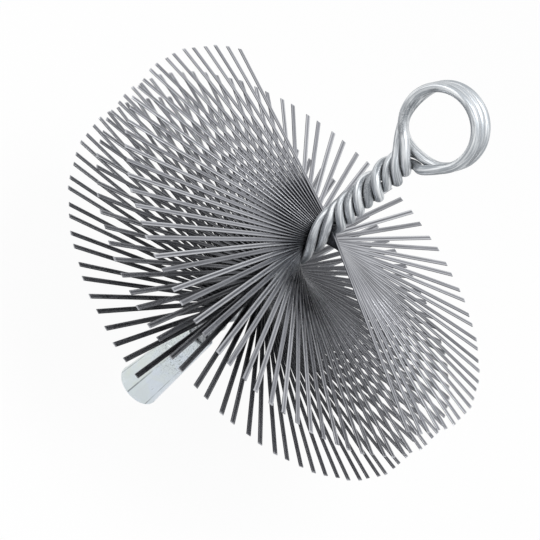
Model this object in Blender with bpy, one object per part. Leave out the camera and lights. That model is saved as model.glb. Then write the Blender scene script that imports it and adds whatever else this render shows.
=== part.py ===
"""Chimney sweep brush: flat steel strips fanned across a twisted stem of two doubled wires.

The stem rises from a sleeve that a rod screws into. Flat strips lie across it between the
strands, each turned a little further than the last, so their ends draw two left-handed
spirals. At the top the two wires wind round into an eye. Lengths are in metres.
"""

import math

import bmesh
import bpy
from mathutils import Matrix, Vector
from mathutils.kdtree import KDTree

# Strips of the fan
FAN_RADIUS = 0.1008
STRIP_COUNT = 111
STRIPS_IN_A_PACK = 3
STRIP_TURN = math.radians(4.35)
STRIP_WIDTH = 0.0023
STRIP_THICKNESS = 0.0005
STRIP_GAP = 0.00008
TIP_LENGTH_SPREAD = 0.0008
TIP_SWAY = math.radians(0.9)
FIRST_TIPS_RISE = -0.0062
LAST_TIPS_RISE = 0.0064
CORE_BLOCK_WIDTH = 0.0016
FIRST_STRIP_ANGLE = math.radians(161.3)

# Wires of the stem and the eye
WIRE_DIAMETER = 0.0039
STRAND_GAP = 0.00047
STRIP_CLEARANCE = 0.0003
STEM_TURN_LENGTH = 0.0233
NECK_TURN_LENGTH = 0.030
TWIST_EASE = 0.008
PAIR_BEARING_AT_TOP = math.radians(40.5)
EYE_BORE_RADIUS = 0.01505
COIL_GAP = 0.00056

# Lengths along the stem, from the mouth of the sleeve upwards
SLEEVE_LENGTH = 0.045
NECK_LENGTH = 0.0241
BARE_STEM_LENGTH = 0.0506
EYE_STANDOFF = 0.0029

# Sleeve
SLEEVE_RADIUS = 0.0103
THREAD_CORE_RADIUS = 0.0051
THREAD_DEPTH = 0.026
MOUTH_CHAMFER = 0.0008
RIM_ROUND = 0.0006
ROUND_LAND = 0.0012
PRESSED_WALL = 0.0010
PRESSED_CORNER_RISE = 0.0007
FIRST_FLAT_DEPTH = 0.0003
WIRE_SEAT_GAP = 0.0003
WIRE_END_GAP = 0.0005
DIMPLE_BALL_RADIUS = 0.0024
DIMPLE_DEPTH = 0.0006
DIMPLE_FROM_END = 0.012

# Fineness of the meshes
LEG_STEP = 0.0019
BLEND_STEPS = 14
CROSSING_STEPS = 22
EYE_STEPS_PER_TURN = 36
WIRE_BEVEL_RESOLUTION = 3
SLEEVE_SIDES = 48
SLEEVE_STATIONS = 9
DIMPLE_SEGMENTS = 12

# What follows from the sizes above
WIRE_RADIUS = WIRE_DIAMETER / 2
STRAND_SPACING = WIRE_DIAMETER + STRAND_GAP
STRIP_RISE = STRIP_THICKNESS + STRIP_GAP
FAN_TURN_LENGTH = STRIP_RISE * math.tau / STRIP_TURN
FAN_BOTTOM = SLEEVE_LENGTH + NECK_LENGTH
FAN_TOP = FAN_BOTTOM + (STRIP_COUNT - 1) * STRIP_RISE
STEM_TOP = FAN_TOP + BARE_STEM_LENGTH
EYE_RADIUS = EYE_BORE_RADIUS + WIRE_RADIUS
EYE_CENTRE = STEM_TOP + EYE_STANDOFF + EYE_RADIUS
COIL_SPACING = WIRE_DIAMETER + COIL_GAP
HALF_TURN = math.pi
QUARTER_TURN = math.pi / 2

MILLIMETRE = 0.001

# Colours
STRIP_STEEL = (0.30, 0.30, 0.32)
GALVANISED_WIRE = (0.62, 0.64, 0.66)
PLATED_SLEEVE = (0.62, 0.68, 0.68)


def clear_scene():
    for old in list(bpy.data.objects):
        bpy.data.objects.remove(old, do_unlink=True)


def make_material(name, colour, roughness, metallic):
    material = bpy.data.materials.new(name)
    material.use_nodes = True
    shader = material.node_tree.nodes["Principled BSDF"]
    shader.inputs["Base Color"].default_value = (*colour, 1.0)
    shader.inputs["Roughness"].default_value = roughness
    shader.inputs["Metallic"].default_value = metallic
    return material


def add_object(name, data, material):
    obj = bpy.data.objects.new(name, data)
    bpy.context.scene.collection.objects.link(obj)
    if material is not None:
        data.materials.append(material)
    return obj


def hide_cutter(obj):
    obj.hide_render = True
    obj.display_type = "WIRE"


def mesh_from(name, bm):
    bmesh.ops.recalc_face_normals(bm, faces=bm.faces)
    mesh = bpy.data.meshes.new(name)
    bm.to_mesh(mesh)
    bm.free()
    return mesh


def add_boolean(obj, cutter, operation):
    modifier = obj.modifiers.new(cutter.name, "BOOLEAN")
    modifier.operation = operation
    modifier.solver = "EXACT"
    modifier.object = cutter


# How strands lie beside each other

def least_spacing(radius, angle, turn_length):
    """Least distance between two strands wound on one radius, this angle apart."""
    steps = 120
    nearest = None
    for step in range(steps):
        rise = turn_length / 3 * step / steps
        turned = angle - math.tau * rise / turn_length
        distance = math.sqrt(2 * radius**2 * (1 - math.cos(turned)) + rise**2)
        nearest = distance if nearest is None else min(nearest, distance)
    return nearest


def solve(shortfall, low, high):
    """The value between low and high at which shortfall rises through zero."""
    for _ in range(40):
        middle = (low + high) / 2
        if shortfall(middle) < 0:
            low = middle
        else:
            high = middle
    return high


def radius_for_four(turn_length):
    """Winding radius at which four even strands lie one spacing apart."""
    return solve(
        lambda radius: least_spacing(radius, QUARTER_TURN, turn_length) - STRAND_SPACING,
        WIRE_RADIUS,
        WIRE_RADIUS * 4,
    )


def pairs_beside_strips():
    """Winding radius and half the angle within a pair, where strips lie between the pairs."""
    across = STRIP_WIDTH / 2 + STRIP_CLEARANCE + WIRE_RADIUS

    def shortfall(half):
        angle = 2 * math.atan(half / across)
        return least_spacing(math.hypot(half, across), angle, FAN_TURN_LENGTH) - STRAND_SPACING

    for _ in range(20):
        along = solve(shortfall, WIRE_RADIUS / 2, WIRE_RADIUS * 3)
        radius = math.hypot(along, across)
        lean = math.atan(math.tau * radius / FAN_TURN_LENGTH)
        bearing = math.atan(across / along)
        reach = WIRE_RADIUS * math.hypot(math.sin(bearing), math.cos(bearing) / math.cos(lean))
        across = STRIP_WIDTH / 2 + STRIP_CLEARANCE + reach
    return radius, math.atan(along / across)


NECK_WINDING = radius_for_four(NECK_TURN_LENGTH)
FAN_WINDING, PAIR_HALF_ANGLE = pairs_beside_strips()


# The twist, left-handed all the way up

def eased(share):
    share = min(max(share, 0.0), 1.0)
    return share * share * (3 - 2 * share)


def eased_run(distance):
    """Distance run at a rate that eases from none to full over TWIST_EASE."""
    share = min(max(distance / TWIST_EASE, 0.0), 1.0)
    return TWIST_EASE * (share**3 - share**4 / 2) + max(distance - TWIST_EASE, 0.0)


FAN_RATE = math.tau / FAN_TURN_LENGTH
NECK_RATE = math.tau / NECK_TURN_LENGTH
NOMINAL_TWIST = FAN_RATE * BARE_STEM_LENGTH
NOMINAL_TWIST += (math.tau / STEM_TURN_LENGTH - FAN_RATE) * eased_run(BARE_STEM_LENGTH)
TWIST_TO_PAIR_BEARING = FIRST_STRIP_ANGLE + QUARTER_TURN - PAIR_BEARING_AT_TOP
HALF_TURNS_IN_STEM = round((NOMINAL_TWIST - TWIST_TO_PAIR_BEARING) / HALF_TURN)
STEM_TWIST = TWIST_TO_PAIR_BEARING + HALF_TURN * HALF_TURNS_IN_STEM
STEM_RATE = FAN_RATE + (STEM_TWIST - FAN_RATE * BARE_STEM_LENGTH) / eased_run(BARE_STEM_LENGTH)
RISING_PAIR_OFFSET = QUARTER_TURN + HALF_TURN * HALF_TURNS_IN_STEM
STEM_WINDING = radius_for_four(math.tau / STEM_RATE)


def fan_angle(height):
    """Direction of the strips' line at this height, carried on through stem and neck."""
    angle = FIRST_STRIP_ANGLE + FAN_RATE * (FAN_TOP - height)
    angle -= (STEM_RATE - FAN_RATE) * eased_run(height - FAN_TOP)
    angle += (NECK_RATE - FAN_RATE) * eased_run(FAN_BOTTOM - height)
    return angle


def strand_point(pair, side, height):
    """Centre of one of the four strands. pair is 0 or 1, side is -1 or +1."""
    above = eased((height - FAN_TOP) / TWIST_EASE)
    below = eased((FAN_BOTTOM - height) / TWIST_EASE)
    radius = FAN_WINDING + (STEM_WINDING - FAN_WINDING) * above + (NECK_WINDING - FAN_WINDING) * below
    half_angle = PAIR_HALF_ANGLE + (QUARTER_TURN / 2 - PAIR_HALF_ANGLE) * max(above, below)
    angle = fan_angle(height) + RISING_PAIR_OFFSET + pair * HALF_TURN + side * half_angle
    return Vector((radius * math.cos(angle), radius * math.sin(angle), height))


# Wire routes: up one strand, round the eye, and down another

FRONT_COIL = -COIL_SPACING
MIDDLE_COIL = 0.0
BACK_COIL = COIL_SPACING

# Angles round the eye are counted from its foot towards +X. One wire lies in the front coil.
# The other takes the back coil, crosses forward over the foot and goes on in the middle coil.
WIRES = {
    "wire_once_round_eye": {
        "rising": {"pair": 0, "side": -1, "leaves_below_top": 0.0038, "pulls": (1.28, 2.36)},
        "turns": [{"coil": FRONT_COIL, "start": math.radians(60.7), "end": math.radians(338.5)}],
        "falling": {"pair": 1, "side": 1, "leaves_below_top": 0.0012, "pulls": (0.68, 0.48)},
    },
    "wire_twice_round_eye": {
        "rising": {"pair": 0, "side": 1, "leaves_below_top": 0.0051, "pulls": (1.34, 2.04)},
        "turns": [
            {"coil": BACK_COIL, "start": math.radians(73.5), "end": math.radians(265.3)},
            {"coil": MIDDLE_COIL, "start": math.radians(42.5), "end": math.radians(282.1)},
        ],
        "crossing_pulls": (3.01, 0.44),
        "falling": {"pair": 1, "side": -1, "leaves_below_top": 0.0049, "pulls": (1.14, 1.55)},
    },
}


def eye_point(angle, coil):
    return Vector((EYE_RADIUS * math.sin(angle), coil, EYE_CENTRE - EYE_RADIUS * math.cos(angle)))


def eye_way(angle):
    """Direction along a coil, the way its angle grows."""
    return Vector((math.cos(angle), 0, math.sin(angle)))


def leg_way(leg, height):
    ahead = strand_point(leg["pair"], leg["side"], height + STRIP_RISE)
    behind = strand_point(leg["pair"], leg["side"], height - STRIP_RISE)
    return (ahead - behind).normalized()


def leg_points(leg):
    """Strand centres from inside the sleeve up to where the leg leaves the twist."""
    bottom = THREAD_DEPTH + WIRE_END_GAP + WIRE_RADIUS
    top = STEM_TOP - leg["leaves_below_top"]
    points = [strand_point(leg["pair"], leg["side"], bottom)]
    height = bottom
    while height < top:
        here = points[-1]
        ahead = strand_point(leg["pair"], leg["side"], height + STRIP_RISE)
        height += STRIP_RISE * LEG_STEP / (ahead - here).length
        height = min(height, top)
        points.append(strand_point(leg["pair"], leg["side"], height))
    return points


def blend_points(start, start_way, end, end_way, pulls, steps):
    """Points between two ends, on a cubic that leaves and arrives along the given ways."""
    span = (end - start).length
    points = []
    for step in range(1, steps):
        t = step / steps
        point = start * (2 * t**3 - 3 * t**2 + 1) + end * (3 * t**2 - 2 * t**3)
        point += start_way * (t**3 - 2 * t**2 + t) * span * pulls[0]
        point += end_way * (t**3 - t**2) * span * pulls[1]
        points.append(point)
    return points


def joined_leg(leg, eye_end, way):
    """A leg and its blend up to its end of the eye, in order from the sleeve."""
    points = leg_points(leg)
    leaving = leg_way(leg, STEM_TOP - leg["leaves_below_top"])
    return points + blend_points(points[-1], leaving, eye_end, way, leg["pulls"], BLEND_STEPS)


def turn_points(turn):
    sweep = turn["end"] - turn["start"]
    steps = math.ceil(sweep / math.tau * EYE_STEPS_PER_TURN)
    return [eye_point(turn["start"] + sweep * step / steps, turn["coil"]) for step in range(steps + 1)]


def wire_points(wire):
    """Every centre point of one wire, from one end in the sleeve to its other end there."""
    turns = wire["turns"]
    first, last = turns[0], turns[-1]
    foot = eye_point(first["start"], first["coil"])
    points = joined_leg(wire["rising"], foot, eye_way(first["start"]))
    for turn in turns:
        arc = turn_points(turn)
        if turn is not first:
            arriving = eye_way(turn["start"])
            pulls = wire["crossing_pulls"]
            points += blend_points(points[-1], leaving, arc[0], arriving, pulls, CROSSING_STEPS)
        points += arc
        leaving = eye_way(turn["end"])
    down = joined_leg(wire["falling"], eye_point(last["end"], last["coil"]), -eye_way(last["end"]))
    return points + down[::-1]


def tube(name, points, material):
    curve = bpy.data.curves.new(name, "CURVE")
    curve.dimensions = "3D"
    curve.bevel_depth = WIRE_RADIUS
    curve.bevel_resolution = WIRE_BEVEL_RESOLUTION
    curve.use_fill_caps = True
    spline = curve.splines.new("POLY")
    spline.points.add(len(points) - 1)
    for spline_point, point in zip(spline.points, points):
        spline_point.co = (*point, 1.0)
    return add_object(name, curve, material)


def fine_points(points):
    """The same route with points about a tenth of a wire's diameter apart, and their distances."""
    fine, along = [points[0]], [0.0]
    for start, end in zip(points, points[1:]):
        parts = math.ceil((end - start).length / (WIRE_DIAMETER / 10))
        for part in range(1, parts + 1):
            fine.append(start.lerp(end, part / parts))
            along.append(along[-1] + (end - start).length / parts)
    return fine, along


def least_gap(first, second, same):
    """Least gap between two wires' surfaces, or between stretches of one wire."""
    first_points, first_along = fine_points(first)
    second_points, second_along = fine_points(second)
    tree = KDTree(len(second_points))
    for index, point in enumerate(second_points):
        tree.insert(point, index)
    tree.balance()
    nearest = EYE_RADIUS
    for point, along in zip(first_points, first_along):
        for _, index, distance in tree.find_range(point, STRAND_SPACING):
            if same and abs(along - second_along[index]) < STRAND_SPACING * 2:
                continue
            nearest = min(nearest, distance)
    return nearest - WIRE_DIAMETER


def build_wires():
    steel = make_material("galvanised_wire", GALVANISED_WIRE, 0.35, 0.9)
    points = {name: wire_points(wire) for name, wire in WIRES.items()}
    for name in WIRES:
        tube(name, points[name], steel)
    once, twice = points.values()
    for label, gap in (
        ("Between the two wires", least_gap(once, twice, same=False)),
        ("Within the wire once round", least_gap(once, once, same=True)),
        ("Within the wire twice round", least_gap(twice, twice, same=True)),
    ):
        print(f"{label}: least gap {gap / MILLIMETRE:.2f} mm")


# Strips of the fan

def tip_variation(index, end):
    """Small steady differences between strip ends, from -1 to 1, as hand cutting leaves them."""
    golden_angle = math.pi * (3 - math.sqrt(5))
    phase = golden_angle * (index * 2 + end)
    return math.sin(phase * 2), math.cos(phase * 3)


def strip_section(along, heading, normal_heading, height):
    """Four corners of a strip's cross-section, this far out along its heading."""
    centre = Vector((along * math.cos(heading), along * math.sin(heading), height))
    sideways = Vector((-math.sin(normal_heading), math.cos(normal_heading), 0)) * (STRIP_WIDTH / 2)
    upwards = Vector((0, 0, STRIP_THICKNESS / 2))
    return [
        centre - sideways - upwards,
        centre + sideways - upwards,
        centre + sideways + upwards,
        centre - sideways + upwards,
    ]


def bridge_sections(bm, sections, closed):
    """Faces between successive rings of vertices, with end caps unless the rings close on themselves."""
    rings = [[bm.verts.new(corner) for corner in section] for section in sections]
    pairs = list(zip(rings, rings[1:]))
    if closed:
        pairs.append((rings[-1], rings[0]))
    for lower, upper in pairs:
        sides = len(lower)
        for side in range(sides):
            following = (side + 1) % sides
            bm.faces.new((lower[side], lower[following], upper[following], upper[side]))
    if not closed:
        bm.faces.new(rings[0][::-1])
        bm.faces.new(rings[-1])


def tips_rise(index):
    """How far a strip's ends lie above its middle, swept towards the middle of the fan."""
    return FIRST_TIPS_RISE + (LAST_TIPS_RISE - FIRST_TIPS_RISE) * index / (STRIP_COUNT - 1)


def add_strip(bm, index, place_in_pack):
    """One strip through the stem, its ends swept along the stem and swayed a little aside."""
    heading = STRIP_TURN * place_in_pack
    height = -STRIP_RISE * place_in_pack
    tip_height = height + tips_rise(index)
    sections = []
    for end, sign in ((0, 1), (1, -1)):
        sway, cut = tip_variation(index, end)
        length = FAN_RADIUS - TIP_LENGTH_SPREAD * (1 + cut) / 2
        tip = strip_section(sign * length, heading + TIP_SWAY * sway, heading, tip_height)
        sections.append(tip)
    middle = strip_section(0.0, heading, heading, height)
    bridge_sections(bm, [sections[0], middle, sections[1]], closed=False)


def build_strip_packs():
    """Strips in packs, each pack joined by a small block where its strips are clamped together."""
    steel = make_material("strip_steel", STRIP_STEEL, 0.4, 0.8)
    middle = (STRIPS_IN_A_PACK - 1) / 2
    for pack in range(STRIP_COUNT // STRIPS_IN_A_PACK):
        first = pack * STRIPS_IN_A_PACK
        bm = bmesh.new()
        for place in range(STRIPS_IN_A_PACK):
            add_strip(bm, first + place, place - middle)
        pack_object = add_object(f"strip_pack_{pack + 1:02d}", mesh_from("strip_pack", bm), steel)
        bm = bmesh.new()
        bmesh.ops.create_cube(bm, size=1.0)
        block_height = STRIP_RISE * (STRIPS_IN_A_PACK - 1)
        bmesh.ops.scale(bm, vec=(CORE_BLOCK_WIDTH, CORE_BLOCK_WIDTH, block_height), verts=bm.verts)
        block = add_object(f"block_for_pack_{pack + 1:02d}", mesh_from("core_block", bm), None)
        hide_cutter(block)
        add_boolean(pack_object, block, "UNION")
        height = FAN_TOP - STRIP_RISE * (first + middle)
        angle = FIRST_STRIP_ANGLE + STRIP_TURN * (first + middle)
        for obj in (pack_object, block):
            obj.location = (0, 0, height)
            obj.rotation_euler = (0, 0, angle)


# Sleeve

WIRE_BORE_RADIUS = NECK_WINDING + WIRE_RADIUS + WIRE_SEAT_GAP
PRESSED_FLAT = WIRE_BORE_RADIUS + PRESSED_WALL
FLATS = 6
FLAT_TURN = math.tau / FLATS
FIRST_FLAT_ANGLE = math.radians(6)


def flat_distance(height):
    """Distance of the pressed flats from the axis, deeper towards the wires."""
    share = min(max((height - ROUND_LAND) / (SLEEVE_LENGTH - ROUND_LAND), 0.0), 1.0)
    shallow = SLEEVE_RADIUS - FIRST_FLAT_DEPTH
    return shallow + (PRESSED_FLAT - shallow) * share


def sleeve_outside(angle, height):
    """Outer radius: round at the mouth, six flats with rounded corners further up."""
    if height < ROUND_LAND:
        return SLEEVE_RADIUS
    share = (height - ROUND_LAND) / (SLEEVE_LENGTH - ROUND_LAND)
    corner = SLEEVE_RADIUS + (PRESSED_FLAT + PRESSED_CORNER_RISE - SLEEVE_RADIUS) * share
    from_flat = (angle - FIRST_FLAT_ANGLE + FLAT_TURN / 2) % FLAT_TURN - FLAT_TURN / 2
    return min(corner, flat_distance(height) / math.cos(from_flat))


def sleeve_ring(height, radius_at):
    ring = []
    for side in range(SLEEVE_SIDES):
        angle = FIRST_FLAT_ANGLE + FLAT_TURN / 2 + math.tau * side / SLEEVE_SIDES
        radius = radius_at(angle)
        ring.append(Vector((radius * math.cos(angle), radius * math.sin(angle), height)))
    return ring


def outside_ring(height, inset):
    return sleeve_ring(height, lambda angle: sleeve_outside(angle, height) - inset)


def bore_ring(height, radius):
    return sleeve_ring(height, lambda angle: radius)


def sleeve_rings():
    """Rings up the outside and back down the stepped bore."""
    rim_steps = 3
    rim = []
    for step in range(rim_steps):
        turn = QUARTER_TURN * step / rim_steps
        rim.append((RIM_ROUND * (1 - math.sin(turn)), RIM_ROUND * (1 - math.cos(turn))))
    rings = [outside_ring(rise, inset) for inset, rise in rim]
    for station in range(SLEEVE_STATIONS + 1):
        share = station / SLEEVE_STATIONS
        rings.append(outside_ring(ROUND_LAND + (SLEEVE_LENGTH - RIM_ROUND - ROUND_LAND) * share, 0.0))
    for inset, drop in reversed(rim):
        rings.append(outside_ring(SLEEVE_LENGTH - drop, inset))
    rings.append(bore_ring(SLEEVE_LENGTH, WIRE_BORE_RADIUS))
    rings.append(bore_ring(THREAD_DEPTH, WIRE_BORE_RADIUS))
    rings.append(bore_ring(THREAD_DEPTH, THREAD_CORE_RADIUS))
    rings.append(bore_ring(MOUTH_CHAMFER, THREAD_CORE_RADIUS))
    rings.append(bore_ring(0.0, THREAD_CORE_RADIUS + MOUTH_CHAMFER))
    return rings


def dimple_balls():
    """Balls that leave one punch mark in each pressed flat."""
    height = SLEEVE_LENGTH - DIMPLE_FROM_END
    out = flat_distance(height) - DIMPLE_DEPTH + DIMPLE_BALL_RADIUS
    bm = bmesh.new()
    for flat in range(FLATS):
        angle = FIRST_FLAT_ANGLE + FLAT_TURN * flat
        place = Matrix.Translation((out * math.cos(angle), out * math.sin(angle), height))
        bmesh.ops.create_uvsphere(
            bm,
            u_segments=DIMPLE_SEGMENTS,
            v_segments=DIMPLE_SEGMENTS // 2,
            radius=DIMPLE_BALL_RADIUS,
            matrix=place @ Matrix.Rotation(angle, 4, "Z") @ Matrix.Rotation(QUARTER_TURN, 4, "Y"),
        )
    balls = add_object("dimple_balls", mesh_from("dimple_balls", bm), None)
    hide_cutter(balls)
    return balls


def build_sleeve():
    plated = make_material("plated_sleeve", PLATED_SLEEVE, 0.4, 0.8)
    bm = bmesh.new()
    bridge_sections(bm, sleeve_rings(), closed=True)
    sleeve = add_object("threaded_sleeve", mesh_from("threaded_sleeve", bm), plated)
    sleeve.data.shade_smooth()
    sleeve.data.set_sharp_from_angle(angle=math.radians(30))
    add_boolean(sleeve, dimple_balls(), "DIFFERENCE")


def main():
    clear_scene()
    build_strip_packs()
    build_wires()
    build_sleeve()


if __name__ == "__main__":
    main()
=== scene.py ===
"""Chimney sweep brush, dressed for its picture.

Flat steel strips, two zinc-coated wires and a plated sleeve take the place of the plain solids,
on the same routes and in the same places. Lengths are in metres.
"""

import math

import bmesh
import bpy
from mathutils import Matrix, Vector
from mathutils.kdtree import KDTree


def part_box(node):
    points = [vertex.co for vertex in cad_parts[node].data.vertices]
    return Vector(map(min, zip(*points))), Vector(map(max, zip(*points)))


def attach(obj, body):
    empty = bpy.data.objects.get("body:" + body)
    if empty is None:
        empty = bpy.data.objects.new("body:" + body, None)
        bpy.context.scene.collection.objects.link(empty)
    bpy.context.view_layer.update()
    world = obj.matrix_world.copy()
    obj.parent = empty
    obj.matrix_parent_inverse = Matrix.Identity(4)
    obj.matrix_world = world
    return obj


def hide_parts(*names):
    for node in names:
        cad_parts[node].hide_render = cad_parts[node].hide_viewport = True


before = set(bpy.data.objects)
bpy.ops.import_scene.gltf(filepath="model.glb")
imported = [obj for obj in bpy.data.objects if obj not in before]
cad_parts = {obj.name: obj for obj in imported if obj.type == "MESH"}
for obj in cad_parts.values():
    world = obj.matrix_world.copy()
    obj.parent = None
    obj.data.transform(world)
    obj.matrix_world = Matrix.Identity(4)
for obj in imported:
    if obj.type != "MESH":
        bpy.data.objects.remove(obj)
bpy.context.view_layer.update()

bl_info = {
    "name": "Chimney Sweep Brush",
    "version": (1, 0, 0),
    "blender": (4, 5, 0),
    "location": "3D View > Sidebar > Sweep Brush",
    "description": "Builds the strips, wires, sleeve and studio of a chimney sweep brush",
    "category": "Object",
}

BODY = "root"

# Sizes that the solids were made with: the strips
FAN_RADIUS = 0.1008
STRIP_COUNT = 111
STRIPS_IN_A_PACK = 3
STRIP_TURN = math.radians(4.35)
STRIP_WIDTH = 0.0023
STRIP_THICKNESS = 0.0005
STRIP_GAP = 0.00008
TIP_LENGTH_SPREAD = 0.0008
FIRST_TIPS_RISE = -0.0062
LAST_TIPS_RISE = 0.0064
FIRST_STRIP_ANGLE = math.radians(161.3)

# The wires, their twist and the eye
WIRE_DIAMETER = 0.0039
STRAND_GAP = 0.00047
STRIP_CLEARANCE = 0.0003
STEM_TURN_LENGTH = 0.0233
NECK_TURN_LENGTH = 0.030
TWIST_EASE = 0.008
PAIR_BEARING_AT_TOP = math.radians(40.5)
EYE_BORE_RADIUS = 0.01505
COIL_GAP = 0.00056

# Lengths along the stem
SLEEVE_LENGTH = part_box("threaded_sleeve")[1][2]
NECK_LENGTH = 0.0241
BARE_STEM_LENGTH = 0.0506
EYE_STANDOFF = 0.0029

# The sleeve
SLEEVE_RADIUS = 0.0103
THREAD_CORE_RADIUS = 0.0051
THREAD_DEPTH = 0.026
MOUTH_CHAMFER = 0.0008
RIM_ROUND = 0.0006
ROUND_LAND = 0.0012
PRESSED_WALL = 0.0010
PRESSED_CORNER_RISE = 0.0007
FIRST_FLAT_DEPTH = 0.0003
WIRE_SEAT_GAP = 0.0003
WIRE_END_GAP = 0.0005
DIMPLE_BALL_RADIUS = 0.0024
DIMPLE_DEPTH = 0.0006
DIMPLE_FROM_END = 0.012
FLATS = 6
FLAT_TURN = math.tau / FLATS
FIRST_FLAT_ANGLE = math.radians(6)

# Detail that only the picture shows
THREAD_PITCH = 0.00175
THREAD_HEIGHT = 0.0009
THREAD_LEAD_IN = 0.0009
THREAD_FLANK_SLOPE = 2.6
THREAD_CREST = 0.3
ROLLED_HOLLOW = 0.00005
HOLLOW_POINTS = (0.6, 0.2, -0.2, -0.6)
WIRE_FULLNESS = 0.00015
UNEVEN_WINDING = 0.0009
UNEVEN_ABOVE_FAN = TWIST_EASE * 1.5
TIP_SWAY = math.radians(0.42)
TIP_MARGIN = 0.00002
BOX_MARGIN = 0.00001
GROOVE_WIDTH = 0.0008
GROOVE_SKIP = 12

# Where the finishes and the painted shade change: painted shade from the stem, a painted shadow on the
# deeper strips that fades towards the tips and along X, the cut ends at the tips, and painted shade
# along the sleeve's corners and its green tint
CORE_SHADE_FULL = 0.004
CORE_SHADE_END = 0.045
FAN_SHADOW_FADE_START = 0.05
FAN_SHADOW_FADE_FULL = 0.085
LEAST_SHADOW_SIDE = -0.05
MOST_SHADOW_SIDE = 0.07
CUT_END_LENGTH = 0.0005
CORNER_SHADE_CORE = 0.0001
CORNER_SHADE_WIDTH = 0.0005
GREENEST_FLAT = math.radians(172)

# Grain of the finishes, in spots for each metre. On the strips it is for each metre along,
# for each half width across, and for the whole range of tones from strip to strip.
STRIP_STREAKS = (40.0, 4.0, 400.0)
STRIP_PATCHES = (160.0, 1.1, 700.0)
WIRE_STREAKS = (85.0, 1500.0, 1500.0)
WIRE_BANDS = (24.0, 520.0, 520.0)
WIRE_PATCHES = (55.0, 150.0, 150.0)
WIRE_PITS = 2200.0
SLEEVE_RUBBING = (2200.0, 2200.0, 90.0)
SLEEVE_FILM = 130.0
SLEEVE_SPECKS = 1900.0
CORNER_SHADE_BREAKS = 260.0

# Depth of the marks, how the strips' tones differ, and how strongly their painted shoulder highlights
# show
DRAWN_LINE_DEPTH = 0.00002
WIRE_PIT_DEPTH = 0.00003
RUBBED_LINE_DEPTH = 0.00002
PIT_RELIEF = 1.5
DARK_STREAK = 0.5
BRIGHT_STREAK = 1.5
TONE_STEP = 12.9898
BAND_STEP = 78.233

# Studio. A lamp's power is the name of its setting.
LAMPS = {
    "key_lamp": {"place": (0.3, -0.4, 1.5), "diameter": 0.9, "power": "key_power"},
    "fill_lamp": {"place": (-1.1, -1.0, 0.7), "diameter": 0.8, "power": "fill_power"},
    "back_lamp": {"place": (-0.7, 1.2, 0.6), "diameter": 1.4, "power": "back_power"},
}
WHITE = (1.0, 1.0, 1.0, 1.0)
FLOOR_REACH = 6.0
FLOOR_DROP = 0.0005
FLOOR_ROUGHNESS = 0.9
FLOOR_GLOW = 0.95
SENSOR_WIDTH = 36.0

# Fineness of the meshes
STRIP_STATIONS = 12
STRIP_EDGE_STEPS = 4
WIRE_STEP = 0.0008
WIRE_SIDES = 24
BLEND_STEPS = 30
CROSSING_STEPS = 48
EYE_STEPS_PER_TURN = 120
SLEEVE_SIDES = 180
SLEEVE_STEP = 0.0005
THREAD_STEPS_PER_TURN = 10
RIM_STEPS = 6
SHARP_EDGE = math.radians(50)
SHARP_SLEEVE_EDGE = math.radians(35)

# Fineness of the sums
SPACING_STEPS = 120
HALVINGS = 40
WINDING_ROUNDS = 20

# What follows from the sizes above
WIRE_RADIUS = WIRE_DIAMETER / 2
STRAND_SPACING = WIRE_DIAMETER + STRAND_GAP
STRIP_RISE = STRIP_THICKNESS + STRIP_GAP
FAN_TURN_LENGTH = STRIP_RISE * math.tau / STRIP_TURN
FAN_BOTTOM = SLEEVE_LENGTH + NECK_LENGTH
FAN_TOP = FAN_BOTTOM + (STRIP_COUNT - 1) * STRIP_RISE
STEM_TOP = FAN_TOP + BARE_STEM_LENGTH
EYE_CENTRE = STEM_TOP + EYE_STANDOFF + EYE_BORE_RADIUS + WIRE_RADIUS
EYE_RADIUS = EYE_BORE_RADIUS + WIRE_RADIUS - WIRE_FULLNESS - BOX_MARGIN
COIL_SPACING = WIRE_DIAMETER + COIL_GAP
HALF_TURN = math.pi
QUARTER_TURN = math.pi / 2


class StripSettings(bpy.types.PropertyGroup):
    width: bpy.props.FloatProperty(
        name="Width", description="Width of the flat strip", default=STRIP_WIDTH, min=0.001, max=0.004,
        precision=5, unit="LENGTH",
    )
    thickness: bpy.props.FloatProperty(
        name="Thickness", description="Thickness of the flat strip", default=STRIP_THICKNESS,
        min=0.0002, max=0.001, precision=5, unit="LENGTH",
    )
    colour: bpy.props.FloatVectorProperty(
        name="Steel", description="Colour of the flat faces", default=(0.25, 0.256, 0.28),
        min=0.0, max=1.0, subtype="COLOR",
    )
    # Painted highlight: the rolled shoulders are lightened towards this colour; the sheared ends take it
    # as their own bright cut.
    shoulder_highlight_and_cut_colour: bpy.props.FloatVectorProperty(
        name="Shoulders", description="Colour of the rolled shoulders and the sheared ends",
        default=(0.54, 0.55, 0.58), min=0.0, max=1.0, subtype="COLOR",
    )
    # Painted shade: the rims, the undersides, the strips near the stem and the deeper strips are
    # darkened towards this colour.
    painted_shade_colour: bpy.props.FloatVectorProperty(
        name="Undersides", description="Colour of the undersides and of the grime near the stem",
        default=(0.022, 0.023, 0.028), min=0.0, max=1.0, subtype="COLOR",
    )


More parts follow.
